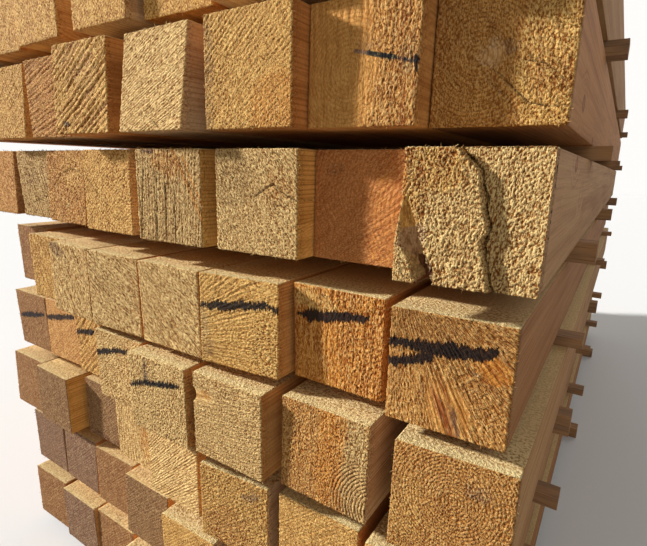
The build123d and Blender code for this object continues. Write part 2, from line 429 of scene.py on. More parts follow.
def buildTimber():
    material, tree, shader = newMaterial("sawnTimber", 0.86)
    place = addNode(tree, "ShaderNodeTexCoord").outputs["Object"]
    pattern = timberPattern(tree, place)
    feel = split(tree, stored(tree, "feel"))
    pattern["pits"] = ramp(tree, pattern["tuft"], 0.51, 0.40)
    pattern["ringShade"] = times(tree, pattern["late"], feel[0])
    streak = noise(tree, stretched(tree, place, 1.0, 0.012, 1.0), grainSettings["streakScale"], 3.0, 0.6, 0.2)
    planed = noise(tree, place, grainSettings["planedScale"], 3.0, 0.7)
    ends = endWood(tree, place, pattern, feel)
    side, sawnTop, roughTop = sideWood(tree, place, pattern, streak, planed)
    onEnd = plus(tree, stored(tree, "endGrain", "number"), centred(tree, pattern["tuft"], 0.8))
    blend = ramp(tree, onEnd, 0.3, 0.7)
    feed(tree, shader.inputs["Base Color"], blendColour(tree, blend, side, ends))

    # bump: tufts and grit on the ends, fine streaks on the sides
    endHeight = plus(tree, times(tree, pattern["tuft"], times(tree, feel[2], bumpSettings["tuft"])),
                     times(tree, pattern["grit"], bumpSettings["grit"]),
                     times(tree, pattern["ringShade"], bumpSettings["ring"]),
                     times(tree, pattern["mark"], times(tree, feel[1], bumpSettings["saw"])))
    planedDepth = plus(tree, bumpSettings["planed"], times(tree, sawnTop, bumpSettings["sawnTop"]))
    sideHeight = plus(tree, times(tree, streak, bumpSettings["streak"]), times(tree, planed, planedDepth),
                      times(tree, pattern["tuft"], times(tree, roughTop, bumpSettings["roughTop"])))
    height = addNode(tree, "ShaderNodeMix", {0: blend, 2: sideHeight, 3: endHeight},
                     data_type="FLOAT").outputs[0]
    addBump(tree, shader, height, 0.9, 1.0)
    return material


def beamEnd(tone="golden", **marks):
    # the look of one beam end: its tone, and whatever differs from the plain look
    return {"tone": tone, **marks}


# pith: where the rings centre; ring: spacing; rings, sawn, coarse: strengths; lay: fibre turn in degrees, 0
# upright;
# saw: pivot of the saw's fan; pitch: of its marks at the middle; size: of the tufts, 1 is common;
# stains: (u, v, half width, half height, turn, tone, strength); areas: (what changes, the same oval, its
# level there);
# cracks: (half width, points...); strokes: (u, v, half width) along the crayon;
# veins: (tone, half width, strength, points...), coloured lines over the end; streak: of dark strands;
# comb: 1 where the fibres follow the saw's fan; drawn: how long the tufts are, 1 is round;
# side: tone of the long sides, where it isn't dealt out
plainLook = {"pith": (75, -60), "ring": 5.0, "rings": 0.35, "saw": (-900, -700), "pitch": 6.0,
             "sawn": 0.3, "coarse": 0.75, "lay": 5, "size": 1.0, "streak": 0.3, "stains": [], "areas": [],
             "strokes": [], "cracks": [], "veins": [], "comb": 0, "drawn": 0.55}

# Looks of the beam ends, by row and from right to left, read off the photograph
endLooks = {
    "beams_row_8": [
        beamEnd(), beamEnd(pith=(180, 40)), beamEnd(pith=(-40, 20)), beamEnd(pith=(60, 200)), beamEnd(),
        beamEnd(pith=(140, 160)), beamEnd(), beamEnd(),
    ],
    "beams_row_7": [
        beamEnd("honey", pith=(50, 76), ring=4.8, rings=0.5, coarse=0.65, sawn=0.5, saw=(-420, 620),
            pitch=11, stains=[(66, 79, 20, 15, 0, "pale", 0.5), (84, 84, 14, 12, 0, "purpleGrey", 0.5),
                (126, 60, 34, 90, 0, "golden", 0.9)], areas=[("coarse", 66, 79, 14, 9, 0, 0.2),
                ("coarse", 128, 60, 34, 90, 0, 0.95), ("rings", 128, 60, 34, 90, 0, 0.2),
                ("streak", 132, 80, 30, 50, 0, 0.8)],
            cracks=[(0.2, (68, 61), (77, 54), (99, 33), (110, 25), (129, 19), (147, 19)),
                (0.2, (101, 69), (122, 62), (134, 54), (144, 43))]),
        beamEnd("honey", pith=(58, 64), ring=4.8, rings=0.3, coarse=0.9, size=1.1, saw=(60, -1500),
            pitch=8.5, sawn=0.35, comb=1, drawn=0.4, streak=0.2,
            areas=[("streak", 130, 75, 26, 90, 0, 0.8), ("coarse", 40, 75, 55, 120, 0, 0.3)],
            stains=[(84, 92, 22, 12, 0, "greyBrown", 0.45), (138, 76, 16, 22, 0, "greyBrown", 0.5)],
            veins=[("soot", 2.6, 1.0, (84, 84), (106, 79), (120, 76)),
                ("purpleGrey", 2.0, 0.9, (66, 88), (151, 68))],
            strokes=[[(86, 84, -0.6), (106, 79, 0.2), (128, 74, -0.8), (151, 69, 0.2)],
                [(143, 74, 0.4), (150, 54, -0.4)]]),
        # the greyBrown strip along this end's left edge is painted shade
        beamEnd(pith=(210, -40), ring=6.0, rings=0.2, size=1.2, lay=-20,
            stains=[(126, 26, 60, 50, 40, "orange", 0.55), (0, 70, 20, 120, 0, "greyBrown", 0.5)],
            areas=[("sawn", 30, 120, 70, 40, 0, 0.5)]),
        beamEnd("straw", saw=(-1100, -560), pitch=4.4, sawn=0.55, pith=(190, 20), rings=0.1, comb=1,
            drawn=0.35, cracks=[(0.4, (83, 16), (97, 5))]),
        beamEnd(saw=(-1050, -700), pitch=10.5, sawn=1.15, coarse=0.8, pith=(31, 18), rings=0.2, comb=1,
            drawn=0.4, stains=[(95, 95, 40, 50, 0, "grey", 0.4), (31, 18, 9, 7, 0, "darkBrown", 0.8)]),
        beamEnd("honey", saw=(-1400, -400), pitch=9.0, sawn=0.9, comb=1), beamEnd(sawn=0.6), beamEnd(),
    ],
    "beams_row_6": [
        # the umber and rust at the foot of this end's slot are painted shade
        beamEnd("straw", side="pale", coarse=1.35, size=0.95, lay=-8, sawn=0.0, rings=0.1, pith=(-160, 60),
            ring=9, streak=0.4, drawn=0.5, stains=[(12, 84, 14, 22, 0, "golden", 1.1),
                (18, 52, 14, 18, 0, "pale", 1.0), (35, 16, 7, 22, 20, "umber", 0.9),
                (36, 2, 12, 5, 0, "rust", 1.1), (30, 138, 46, 16, 0, "golden", 0.7),
                (36, 122, 34, 26, 0, "golden", 0.7)], veins=[("orange", 3.5, 1.3, (1, 150), (1, 96))],
            areas=[("streak", 30, 120, 40, 50, 0, 1.0), ("coarse", 116, 60, 16, 95, 0, 1.6)]),
        beamEnd("ember", coarse=0.42, size=1.5, sawn=0.25, rings=0.3, pith=(190, 75), ring=6,
            saw=(-1000, -720), pitch=7, comb=1, drawn=0.35,
            stains=[(30, 126, 18, 12, 0, "umber", 0.45), (110, 60, 30, 80, 0, "orange", 0.4)],
            veins=[("rust", 1.2, 0.9, (152, 112), (138, 100), (132, 84), (138, 68))]),
        beamEnd("straw", side="golden", coarse=0.95, size=1.4, rings=0.2, pith=(60, 230), saw=(-500, 800),
            sawn=0.4, comb=1, drawn=0.3,
            stains=[(118, 100, 30, 30, 0, "honey", 0.5), (30, 110, 50, 50, 0, "greenGrey", 0.7)],
            cracks=[(0.2, (16, 116), (36, 108)),
                (0.3, (74, 83), (90, 92), (109, 103), (124, 92), (136, 86), (150, 80))]),
        beamEnd("greenGrey", coarse=0.9, size=1.4, saw=(8, -1500), pitch=6.5, sawn=0.5, rings=0.1, comb=1,
            drawn=0.3, stains=[(75, 125, 40, 22, -20, "honey", 0.6), (30, 147, 26, 6, 0, "umber", 0.7)],
            veins=[("honey", 3.4, 1.3, (89, 149), (113, 110), (153, 40)),
                ("orange", 1.8, 1.0, (112, 138), (155, 60)), ("cream", 1.2, 1.1, (53, 116), (49, 8))],
            side="golden", cracks=[(0.6, (50, 112), (45, 2)), (0.4, (18, 120), (6, 4)),
                (0.6, (70, 96), (68, 4)), (0.4, (93, 100), (90, 4)), (0.1, (101, 138), (154, 48))]),
        beamEnd(coarse=0.85, pith=(150, -40), cracks=[(0.4, (11, 96), (77, 49))]),
        beamEnd("honey", coarse=1.0, pith=(30, 180),
            stains=[(110, 110, 60, 50, 20, "golden", 0.6), (80, 34, 5, 9, 0, "cream", 0.9)],
            cracks=[(0.4, (9, 63), (58, 101), (106, 114), (148, 101))]),
        beamEnd("greenGrey", coarse=0.8, saw=(-400, 1500), pitch=9, sawn=0.8, comb=1,
            stains=[(60, 90, 50, 30, 0, "purpleGrey", 0.4)], cracks=[(0.5, (20, 23), (118, 52))]),
        beamEnd("honey"),
    ],
    "beams_row_5": [
        beamEnd("honey", coarse=0.9, size=1.3, saw=(-10, 230), pitch=5.0, sawn=0.6, pith=(-40, 245),
            ring=4.4, rings=0.25, comb=1, drawn=0.2, streak=0.35,
            areas=[("streak", 80, 32, 24, 44, 24, 1.0), ("streak", 127, 96, 26, 18, -35, 1.0),
                ("coarse", 80, 30, 24, 42, 24, 0.3), ("coarse", 127, 96, 24, 16, -35, 0.4),
                ("rings", 20, 40, 42, 90, 8, 0.0), ("rings", 80, 130, 90, 30, 0, 0.15),
                ("rings", 80, 30, 24, 50, 24, 0.0), ("sawn", 18, 40, 34, 60, 8, 0.1)],
            stains=[(74, 30, 8, 44, 24, "rust", 0.6), (90, 20, 4, 30, 24, "umber", 0.7),
                (98, 34, 6, 44, 24, "golden", 0.7), (127, 96, 24, 16, -35, "orange", 0.9),
                (110, 86, 6, 4, 0, "blueGrey", 0.5), (30, 130, 60, 24, 0, "brown", 0.3)],
            strokes=[[(-7, 102, 5), (20, 107, 4.5), (52, 106, 7.5), (75, 108.5, 8), (94, 109, 7.5),
            (119, 114, 5.5), (133, 120, 0.8)], [(-6, 76, 5), (16, 81, 5), (35, 88, 5), (52, 97, 6)]]),
        beamEnd("orange", coarse=1.0, saw=(60, -1400), pitch=9, sawn=0.4, rings=0.1, pith=(230, 60),
            streak=0.5, comb=1, drawn=0.35, stains=[(40, 128, 50, 16, -8, "golden", 0.7)],
            areas=[("coarse", 30, 50, 55, 90, 6, 0.75)], strokes=[[(11, 104, 2), (30, 104, 8),
            (62, 109.5, 7), (92, 114, 5.5), (115, 117, 4.5), (125, 119.5, 2)]]),
        beamEnd(coarse=0.7, saw=(-130, 15), pitch=7.0, sawn=0.5, rings=0.1, streak=0.1, comb=1, drawn=0.5,
            stains=[(12, 25, 22, 26, 0, "purpleGrey", 0.45), (6, 70, 14, 40, 0, "greenGrey", 0.6)],
            areas=[("coarse", 135, 40, 36, 60, 0, 1.0), ("sawn", 130, 60, 34, 90, 0, 0.25)],
            strokes=[[(-7, 93, 2.5), (10, 97.5, 2.5), (21, 96, 2.8), (31, 99.5, 5), (38, 101, 6),
            (57, 102, 5.2), (84, 106.5, 5.4), (106, 110, 4.2), (126, 114, 4), (135, 112.5, 2.6),
            (146, 109.5, 2.8), (157, 112, 2.4)]]),
        beamEnd("straw", coarse=0.8, saw=(-900, 800), pitch=4.5, sawn=0.7, rings=0.1, comb=1, drawn=0.28,
            stains=[(60, 60, 60, 24, -40, "honey", 0.4)]),
        beamEnd("straw", coarse=0.85, saw=(-1200, 860), pitch=5, sawn=0.8, rings=0.25, pith=(-200, -150),
            ring=4.5, comb=1, drawn=0.28, stains=[(20, 140, 30, 16, 0, "brown", 0.4)]),
        beamEnd("straw", coarse=0.9, saw=(-500, 1100), pitch=7, sawn=0.8, comb=1, drawn=0.28,
            stains=[(26, 138, 40, 14, -18, "greyBrown", 0.62), (60, 120, 40, 10, -30, "purpleGrey", 0.4)]),
        # the last end's brown is painted shade, front and back
        beamEnd(saw=(-500, 1400), pitch=8, sawn=0.8, comb=1), beamEnd("brown", coarse=0.5),
    ],
    "beams_row_4": [
        beamEnd("honey", coarse=0.85, size=1.1, pith=(82, 95), ring=4.3, rings=0.75, sawn=0.0,
            stains=[(108, 116, 24, 14, 0, "purpleGrey", 0.5), (20, 60, 26, 60, 0, "golden", 0.5)]),
        beamEnd("honey", coarse=1.0, size=1.1, pith=(170, 20), rings=0.1, sawn=0.25, saw=(75, -1500),
            pitch=8, comb=1, drawn=0.5, streak=0.4,
            areas=[("rings", 126, 38, 36, 44, 0, 2.0), ("coarse", 126, 38, 36, 44, 0, 0.75)],
            stains=[(84, 90, 24, 120, -4, "orange", 0.7), (132, 70, 24, 120, 0, "greenGrey", 0.8),
                (140, 20, 14, 50, 0, "grey", 0.6)]),
        beamEnd("straw", coarse=0.95, rings=0.4, pith=(60, 420), ring=6.5, size=1.3, saw=(-900, 20),
            pitch=9, comb=1, drawn=0.42, stains=[(20, 112, 26, 8, 8, "honey", 0.6)]),
        beamEnd("straw", coarse=1.1, rings=0.1, sawn=0.0, stains=[(46, 116, 5, 22, 10, "blueGrey", 0.7)],
            veins=[("purpleGrey", 3, 0.9, (48, 146), (44, 100)),
                ("soot", 7, 0.55, (10, 88), (44, 98), (118, 112))], strokes=[[(-2, 82, 0.5), (24, 90, 2),
            (44, 98, 2.6), (87, 106, 2.6), (118, 112, 2), (134, 115, 0.5)]]),
        beamEnd("straw", coarse=0.9, strokes=[[(-5, 95, 4), (47, 110, 4), (102, 121, 3)]]),
        beamEnd(saw=(-900, -850), pitch=12, sawn=0.9, comb=1, stains=[(60, 60, 70, 12, 44, "honey", 0.6)],
            strokes=[[(-3, 96, 4.5), (68, 110, 5)]]),
        beamEnd("amber", coarse=0.45, strokes=[[(-8, 98, 5), (50, 110, 6), (119, 122, 4)]]),
        # this end's brown is painted shade, front and back
        beamEnd("brown", coarse=0.45, strokes=[[(15, 80, 4), (60, 88, 6), (132, 101, 3)]]),
    ],
    "beams_row_3": [
        beamEnd(), beamEnd(coarse=0.9),
        beamEnd(coarse=0.95,
            stains=[(112, 122, 24, 10, 20, "purpleGrey", 0.55), (60, 40, 60, 50, 0, "honey", 0.6)]),
        beamEnd("straw", saw=(-600, -500), pitch=5.0, sawn=0.6, coarse=0.65, comb=1, drawn=0.25),
        beamEnd("straw", saw=(42, 336), pitch=9, sawn=0.4, comb=1, drawn=0.3,
            stains=[(110, 60, 30, 70, 10, "orange", 0.5)],
            cracks=[(0.3, (17, 135), (5, 40)), (0.3, (92, 153), (118, 57))]),
        # the last three ends take darker tones as painted shade, front and back
        beamEnd("greyBrown", coarse=0.4, stains=[(75, 6, 90, 8, 0, "umber", 0.7)]),
        beamEnd("greyBrown", side="golden", coarse=0.45), beamEnd("brown", coarse=0.4),
    ],
    "beams_row_2": [
        # the last four ends take darker tones as painted shade, front and back
        beamEnd(), beamEnd(), beamEnd("honey"), beamEnd(), beamEnd("greyBrown", coarse=0.45),
        beamEnd("brown", coarse=0.4), beamEnd("purpleGrey", coarse=0.4), beamEnd("purpleGrey", coarse=0.4),
    ],
    "beams_row_1": [
        # the last four ends take darker tones as painted shade, front and back
        beamEnd(), beamEnd(), beamEnd("honey"), beamEnd(), beamEnd("greyBrown", coarse=0.45),
        beamEnd("brown", coarse=0.4), beamEnd("purpleGrey", coarse=0.4), beamEnd("brown", coarse=0.4),
    ],
}

beamsInRow = 8
# Tones of the long sides, dealt out over the stack, and of its outer faces, row by row, darker as painted
# shade
sideTones = ["amber", "resin", "amber", "pale", "amber", "resin", "pale"]
sideStep = 5
outerShadeTones = ["brown", "outerShade", "tan", "outerShade"]
farSmaller, farCoarser = 0.045, 0.03        # further from the photograph's corner only the larger tufts show


def lookOf(rowName, place):
    row = rowNames.index(rowName)
    sideTone = sideTones[(row * beamsInRow + place) * sideStep % len(sideTones)]
    look = {**plainLook, "side": sideTone, **endLooks[rowName][place]}
    if place in (0, beamsInRow - 1):
        look["side"] = outerShadeTones[row % len(outerShadeTones)]
    look["size"] *= 1 - farSmaller * place
    look["coarse"] *= 1 + farCoarser * place
    return look


# Sizes of the dressed beams
endSettings = {
    "edge": 1.2,                  # mm, the worn edge round the sawn face
    "steps": [2.0, 3.0, 4.5, 9.0, 18.0],      # mm, rings of points back along the sides
    "rough": 0.9,                 # mm, half the height of the tufts where the wood is coarse
    "roughBehind": 0.75,          # how much of it is left behind the face
    "cornerIn": 0.0006,           # metres that each corner is drawn in
    "grainDepth": 0.0022,         # metres over which the end's look gives way to that of the sides
    "fadeDepth": 0.03,            # metres over which the tufts die away on the sides
    "fadePower": 1.2,
    "crackDepth": 2.5,            # depth of a small crack for each millimetre of its half width
    "crackLeast": 0.6,            # mm added to that half width
    "backCells": 16,
    "cells": {"beams_row_8": [32] * 8, "beams_row_7": [108, 104, 96, 86, 76, 64, 52, 34],
              "beams_row_6": [124, 100, 96, 86, 74, 64, 50, 34],
              "beams_row_5": [124, 106, 96, 84, 74, 64, 50, 34],
              "beams_row_4": [112, 110, 104, 92, 78, 64, 52, 36],
              "beams_row_3": [30, 64, 88, 90, 80, 68, 54, 42],
              "beams_row_2": [20, 20, 30, 44, 54, 54, 48, 38],
              "beams_row_1": [24, 24, 24, 24, 24, 36, 36, 36]},
}
capDepth = sum(endSettings["steps"]) * mm + endSettings["edge"] * mm
# Where loose fibres grow: shares on the face, on the edge, on its lower half and at the back, and depths in
# metres
fuzzSettings = {"face": 0.07, "edge": 0.55, "lower": 0.55, "back": 0.35, "edgeDepths": (0.0003, 0.003),
                "last": 0.0045}
beamGap = 0.0005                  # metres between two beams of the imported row
cornerReach = 0.0025              # metres round a beam's corner in which the points of its end are taken


def pointsOf(mesh):
    points = np.empty(len(mesh.vertices) * 3)
    mesh.vertices.foreach_get("co", points)
    return points.reshape(-1, 3)


def beamsOf(nodeName):
    # the beams of a row, from right to left, with the slope of their ends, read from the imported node
    mesh = frame["nodes"][nodeName].data
    corners = np.empty(len(mesh.loops), dtype=int)
    mesh.loops.foreach_get("vertex_index", corners)
    triangles = pointsOf(mesh)[corners].reshape(-1, 3, 3)
    groups, reach = [], -1e9
    for index in np.argsort(triangles[:, :, 0].min(axis=1)):
        low, high = triangles[index, :, 0].min(), triangles[index, :, 0].max()
        if low > reach + beamGap:
            groups.append([])
        groups[-1].append(index)
        reach = max(reach, high)
    beams = []
    for group in reversed(groups):
        spots = triangles[group].reshape(-1, 3)
        low, high = spots.min(axis=0), spots.max(axis=0)
        beam = {"low": low, "high": high}
        for side, pick in (("front", np.min), ("back", np.max)):
            rows, values = [], []
            for x in (low[0], high[0]):
                for z in (low[2], high[2]):
                    near = spots[(abs(spots[:, 0] - x) < cornerReach) & (abs(spots[:, 2] - z) < cornerReach)]
                    if len(near):
                        rows.append((1.0, near[:, 0].mean(), near[:, 2].mean()))
                        values.append(pick(near[:, 1]))
            beam[side] = np.linalg.lstsq(np.array(rows), np.array(values), rcond=None)[0]
        beams.append(beam)
    return beams


def setActive(piece):
    bpy.ops.object.select_all(action="DESELECT")
    piece.select_set(True)
    bpy.context.view_layer.objects.active = piece


def addMesh(name, mesh):
    piece = bpy.data.objects.new(name, mesh)
    bpy.context.collection.objects.link(piece)
    return piece


def sortFaces(mesh):
    # extruding lists the new faces in another order in each run, and the loose fibres fall by that order
    shape = bmesh.new()
    shape.from_mesh(mesh)
    count = len(shape.verts)

    def rank(face):
        first, second, third = sorted(vert.index for vert in face.verts)[:3]
        return (first * count + second) * count + third

    shape.faces.sort(key=rank)
    shape.to_mesh(mesh)
    shape.free()


def buildCap(name, cells):
    # a sawn end facing -Y round the origin: a fine grid, its worn edge and a short way back along the sides
    edge, side = endSettings["edge"] * mm, beamSide * mm
    bpy.ops.mesh.primitive_grid_add(x_subdivisions=cells, y_subdivisions=cells, size=side - 2 * edge,
                                    location=(0, 0, 0), rotation=(math.pi / 2, 0, 0))
    cap = bpy.context.object
    cap.name = name
    bpy.ops.object.transform_apply(location=True, rotation=True, scale=True)
    bpy.ops.object.mode_set(mode="EDIT")
    bpy.ops.mesh.select_mode(type="EDGE")
    bpy.ops.mesh.select_all(action="DESELECT")
    bpy.ops.mesh.select_non_manifold()
    bpy.ops.mesh.extrude_edges_move(TRANSFORM_OT_translate={"value": (0, edge, 0)})
    grow = side / (side - 2 * edge)
    bpy.ops.transform.resize(value=(grow, 1, grow), center_override=(0, 0, 0))
    for step in endSettings["steps"]:
        bpy.ops.mesh.extrude_edges_move(TRANSFORM_OT_translate={"value": (0, step * mm, 0)})
    bpy.ops.object.mode_set(mode="OBJECT")
    sortFaces(cap.data)
    return cap


# The long sides: the bevel along their edges in mm, and cuts that give the grain points to sit on
sideSettings = {"bevel": 1.3, "bevelSegments": 2, "cuts": 15}


def selectLengthwise(mesh, length):
    # the long edges, selected in object mode
    for edge in mesh.edges:
        first, second = (mesh.vertices[number].co.y for number in edge.vertices)
        edge.select = abs(first - second) > 0.5 * length


def buildSide(name, length):
    # the long sides of one beam, open at both ends, from y 0 back
    side = beamSide * mm
    bpy.ops.mesh.primitive_cube_add(size=1, location=(0, length / 2, 0), scale=(side, length, side))
    beam = bpy.context.object
    beam.name = name
    bpy.ops.object.transform_apply(location=True, rotation=True, scale=True)
    mesh = beam.data
    bpy.ops.object.mode_set(mode="EDIT")
    bpy.ops.mesh.select_mode(type="FACE")
    bpy.ops.mesh.select_all(action="DESELECT")
    bpy.ops.object.mode_set(mode="OBJECT")
    for face in mesh.polygons:
        face.select = abs(face.normal.y) > 0.9
    bpy.ops.object.mode_set(mode="EDIT")
    bpy.ops.mesh.delete(type="FACE")
    bpy.ops.mesh.select_mode(type="EDGE")
    bpy.ops.mesh.select_all(action="DESELECT")
    bpy.ops.object.mode_set(mode="OBJECT")
    selectLengthwise(mesh, length)
    bpy.ops.object.mode_set(mode="EDIT")
    bpy.ops.mesh.bevel(offset=sideSettings["bevel"] * mm, segments=sideSettings["bevelSegments"])
    bpy.ops.mesh.select_all(action="DESELECT")
    bpy.ops.object.mode_set(mode="OBJECT")
    selectLengthwise(mesh, length)
    bpy.ops.object.mode_set(mode="EDIT")
    bpy.ops.mesh.subdivide(number_cuts=sideSettings["cuts"])
    bpy.ops.object.mode_set(mode="OBJECT")
    return beam


attributeFields = {"number": "value", "vector": "vector", "colour": "color"}
farOff = 1e3                                # mm, further than any mark reaches
lineShake = 0.6                             # mm that cracks, strokes and veins wander
slowWaves = ((61, 0.3), (37, 1.4), (23, 2.3), (14, 0.9))       # mm and turn of the waves that stains follow


def keep(mesh, name, kind, values):
    attribute = mesh.attributes.new(name, attributeKinds[kind], "POINT")
    attribute.data.foreach_set(attributeFields[kind], np.ascontiguousarray(values, dtype=np.float32).ravel())


def keepParts(mesh, name, *parts):
    # three numbers, or three rows of numbers, kept as one vector
    ones = np.ones(len(mesh.vertices))
    keep(mesh, name, "vector", np.stack([ones * part for part in parts], axis=1))


def lineGap(u, v, points):
    # distance in mm from each point of the face to a line, less the line's half width where its points give
    # one
    gap = np.full(len(u), farOff)
    for (u1, v1, *half1), (u2, v2, *half2) in zip(points, points[1:]):
        du, dv = u2 - u1, v2 - v1
        share = np.clip(((u - u1) * du + (v - v1) * dv) / (du * du + dv * dv + 1e-9), 0, 1)
        away = np.hypot(u - u1 - share * du, v - v1 - share * dv)
        if half1:
            away = away - half1[0] - share * (half2[0] - half1[0])
        gap = np.minimum(gap, away)
    return gap


def smooth(low, high, value):
    share = np.clip((value - low) / (high - low), 0, 1)
    return share * share * (3 - 2 * share)


def uneven(u, v, seed, size):
    # a slow wave over the face, so that stains don't end in smooth ovals
    wave = np.zeros(len(u))
    for step, (length, turn) in enumerate(slowWaves):
        along = u * math.cos(turn + seed) + v * math.sin(turn + seed)
        wave += np.sin(along * 2 * math.pi / length + seed * 1.7 + step) / (1 + 0.7 * step)
    return wave * size


def shaken(u, v, seed, size=lineShake):
    return u + uneven(u, v, seed, size), v + uneven(v, u, seed, size)


def spotShare(u, v, spot, seed, soft):
    # 1 inside an oval on the face, falling to 0 round it
    cu, cv, ru, rv, turn = spot
    angle = math.radians(turn)
    du, dv = u - cu + uneven(u, v, seed, 2.6), v - cv + uneven(v, u, seed + 2, 2.6)
    wide = (du * math.cos(angle) + dv * math.sin(angle)) / ru
    tall = (dv * math.cos(angle) - du * math.sin(angle)) / rv
    return 1 - smooth(1 - soft, 1 + soft, np.hypot(wide, tall))


def overFace(look, name, u, v, seed):
    # a number of the look at each point of the face
    values = np.full(len(u), float(look[name]))
    for what, *spot, level in look["areas"]:
        if what == name:
            inside = spotShare(u, v, spot, seed + spot[1], 0.25)
            values = values * (1 - inside) + level * inside
    return values


def dress(mesh, beam, look, u, v, endGrain, rough, seed, coarse):
    # keeps on the mesh what the relief and the material read
    left, bottom = beam["low"][0], beam["low"][2]
    keep(mesh, "endGrain", "number", endGrain)
    keep(mesh, "rough", "number", rough)
    streak, rings, sawn = (overFace(look, name, u, v, seed) for name in ("streak", "rings", "sawn"))
    keepParts(mesh, "lay", math.radians(look["lay"]), look["size"], streak)
    keepParts(mesh, "feel", rings, sawn, coarse)
    keepParts(mesh, "pith", left + look["pith"][0] * mm, bottom + look["pith"][1] * mm, look["ring"] * mm)
    reach = math.hypot(look["saw"][0] - beamSide / 2, look["saw"][1] - beamSide / 2)
    keepParts(mesh, "saw", left + look["saw"][0] * mm, bottom + look["saw"][1] * mm, look["pitch"] / reach)
    keepParts(mesh, "comb", look["comb"], reach * mm, look["drawn"])
    tint, sideTint = (np.tile((*tones[look[name]], 1.0), (len(u), 1)) for name in ("tone", "side"))
    stain, share = tint.copy(), np.zeros(len(u))
    du, dv = shaken(u, v, seed)
    coloured = [(tone, strength * spotShare(u, v, spot, seed + spot[0], 0.4))
                for *spot, tone, strength in look["stains"]]
    coloured += [(tone, strength * (1 - smooth(half * 0.6, half * 1.5, lineGap(du, v, points))))
                 for tone, half, strength, *points in look["veins"]]
    for tone, here in coloured:
        stain = np.where((here > share)[:, None], np.array((*tones[tone], 1.0)), stain)
        share = np.maximum(share, here)
    keep(mesh, "tint", "colour", tint)
    keep(mesh, "sideTint", "colour", sideTint)
    keep(mesh, "stain", "colour", stain)
    keep(mesh, "stainShare", "number", share)
    crackGap, crayonGap = np.full(len(u), farOff), np.full(len(u), farOff)
    for half, *points in look["cracks"]:
        crackGap = np.minimum(crackGap, lineGap(du, dv, points) - half)
    for points in look["strokes"]:
        crayonGap = np.minimum(crayonGap, lineGap(du, dv, points))
    crackGap, crayonGap = (np.where(endGrain < 0.3, farOff, gap) * mm for gap in (crackGap, crayonGap))
    keepParts(mesh, "marks", crackGap, crayonGap, 0.0)


# The torn end, in mm on its face: a slot where the lower left corner has split off, and a crack with a step.
# It is sharper than in the solids, whose crack lies up to 5 mm to the right and whose step is 4 mm.
tornEnd = {
    # the slot's right side, from the foot up
    "inner": [(43, -1), (33, 28), (23, 55), (12, 82), (6, 104)],
    "outer": [(29, -1), (19, 27), (7, 45), (2, 68), (4, 97)],          # its left side
    "top": (88, 99),              # heights between which the slot ends
    "depthTop": 2.5, "depthFoot": 36.0,
    "ripple": 1.1,                # height of the torn wood's ripples
    "ripples": 26,                # how close they stand
    "ripplesFrom": (2, 108),      # where they spread from
    "splay": 6.0,                 # how far the split corner leans out at its foot
    "splayUp": 0.25,              # share of that by which it sinks
    "splayHeights": (99, 40),     # where the lean starts, and where it is full
    "crack": [(105, 0), (101, 11), (97, 28), (94, 39), (91, 51), (96, 63), (96, 72), (90, 88), (90, 99),
              (85, 112),
              (82, 127), (70, 139), (58, 150)],
    "crackHalf": 1.5, "crackDepth": 22.0, "step": 10.0,
    "planed": 0.8,                # how much smoother the slot is than the face
}
# The chipped end: a scoop out of its left edge, with a shallow bruise beside it
chippedEnd = {"height": 110.0, "reach": 7.0, "half": 12.0, "depth": 12.0,
              "bruiseReach": 44.0, "bruiseHalf": 13.0, "bruise": 1.2, "bruiseDepth": 0.8, "planed": 0.65}
brokenEnds = {("beams_row_6", 0): "torn", ("beams_row_4", 2): "chipped"}


def follow(points, v):
    # the u of a line at each height
    line = np.array(points, dtype=float)
    return np.interp(v, line[:, 1], line[:, 0])


def tearEnd(u, v, share, shift, coarse):
    # how far each point of the torn end is pushed back, and how far it lies in the slot
    inner, outer = follow(tornEnd["inner"], v), follow(tornEnd["outer"], v)
    jag = uneven(v * 3, u * 3, 4.0, 0.35)
    below = 1 - smooth(*tornEnd["top"], v + jag)
    deepen = tornEnd["depthFoot"] - tornEnd["depthTop"]
    floor = tornEnd["depthTop"] + deepen * np.clip(1 - v / 100, 0, 1) ** 1.5
    rippleU, rippleV = tornEnd["ripplesFrom"]
    fan = tornEnd["ripple"] * np.sin(np.arctan2(v - rippleV, u - rippleU) * tornEnd["ripples"])
    inside = smooth(-0.6, 0.6, u - outer + jag) * (1 - smooth(-0.7, 0.5, u - inner + jag)) * below
    crack = follow(tornEnd["crack"], v)
    right = smooth(-1.0, 1.5, u - crack + jag)
    push = np.maximum(inside * (floor + fan), right * tornEnd["step"])
    gap = abs(u - crack + jag - 0.6)
    width = np.clip(tornEnd["crackHalf"] * (0.7 + 0.7 * np.sin(v * 0.13 + 1.2) + 0.6 * np.sin(v * 0.47)), 0.2,
                    3.0)
    push = np.maximum(push, tornEnd["crackDepth"] * (1 - smooth(width * 0.5, width + 0.8, gap)))
    coarse[:] = coarse * (1 - tornEnd["planed"] * inside)
    corner = (u < (inner + outer) / 2) & (v < tornEnd["top"][1])
    lean = np.where(corner, tornEnd["splay"] * smooth(*tornEnd["splayHeights"], v) * (1 - share), 0)
    shift[:, 0] -= lean * mm
    shift[:, 2] -= lean * tornEnd["splayUp"] * mm
    return push, inside


def chipEnd(u, v, coarse):
    # how far each point is pushed back for the scoop
    up = v - chippedEnd["height"]
    scoop = 1 - smooth(0.65, 1.05, np.hypot((u + 1) / (chippedEnd["reach"] + 1), up / chippedEnd["half"]))
    beside = 1 - smooth(0.6, 1.4, np.hypot(u / chippedEnd["bruiseReach"], up / chippedEnd["bruiseHalf"]))
    beside = beside * chippedEnd["bruise"]
    coarse[:] = coarse * (1 - chippedEnd["planed"] * np.clip(beside + scoop, 0, 1))
    return scoop * chippedEnd["depth"] + beside * chippedEnd["bruiseDepth"]


